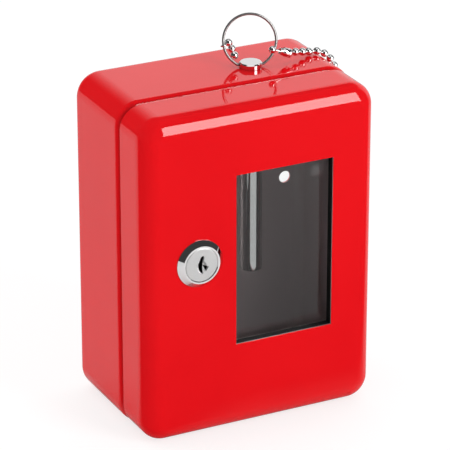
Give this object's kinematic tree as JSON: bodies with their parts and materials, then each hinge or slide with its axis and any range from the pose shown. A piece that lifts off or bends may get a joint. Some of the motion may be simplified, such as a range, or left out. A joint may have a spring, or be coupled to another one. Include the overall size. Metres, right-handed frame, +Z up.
{
  "type": "break glass key box",
  "caption": "Wall-mounted sheet-steel key box with a rounded glazed door, a cam lock and a drop-in striker on a pull ring and ball chain.",
  "frame": {"origin": "on the wall plane, midway between the two wall-fixing holes", "axes": "+X to the right seen from the front, +Y into the wall, +Z up"},
  "size_m": [0.1244, 0.0774, 0.1842],
  "materials": {
    "red_paint": "glossy baked enamel",
    "grey_paint": "satin grey paint",
    "black_rubber": "matte",
    "clear_glass": "clear, polished",
    "chrome_plate": "polished plating",
    "zinc_steel": "zinc-plated",
    "wafer_brass": "stamped"
  },
  "bodies": {
    "case": {"case_shell": "red_paint", "hinge_case_leaf": "red_paint", "hinge_pin": "zinc_steel", "striker_guide": "grey_paint", "key_hook": "zinc_steel", "chain_anchor": "red_paint", "anchor_rivet": "zinc_steel", "ball_chain": "chrome_plate"},
    "door": {"door_shell": "red_paint", "hinge_door_leaf": "red_paint", "window_seal": "black_rubber", "glass_pane": "clear_glass", "glass_frame": "grey_paint", "frame_studs": "zinc_steel", "frame_nuts": "zinc_steel", "lock_housing": "chrome_plate", "lock_nut": "zinc_steel"},
    "lock": {"lock_plug": "chrome_plate", "lock_wafers": "wafer_brass", "lock_cam": "zinc_steel", "cam_washer": "zinc_steel", "cam_screw": "zinc_steel"},
    "striker": {"breaking_striker": "chrome_plate", "chain_connector": "chrome_plate", "chain_tail": "chrome_plate"},
    "ring": {"pull_ring": "chrome_plate"}
  },
  "joints": [
    {"name": "door_hinge", "type": "hinge", "parent": "case", "child": "door", "pos_m": [0.06135, -0.04945, -0.008], "axis": [0, 0, 1], "range_deg": [0, 160]},
    {"name": "lock_turn", "type": "hinge", "parent": "door", "child": "lock", "pos_m": [-0.0314, -0.06, 0], "axis": [0, 1, 0], "range_deg": [0, 90]},
    {"name": "striker_slide", "type": "slide", "parent": "case", "child": "striker", "axis": [0, 0, 1], "range_m": [0, 0.1], "deforming": ["ball_chain", "chain_connector", "chain_tail"]},
    {"name": "ring_pivot", "type": "hinge", "parent": "striker", "child": "ring", "pos_m": [0.01625, -0.0315, 0.07335], "axis": [0.9511, -0.309, 0], "range_deg": [-72, 104]}
  ]
}
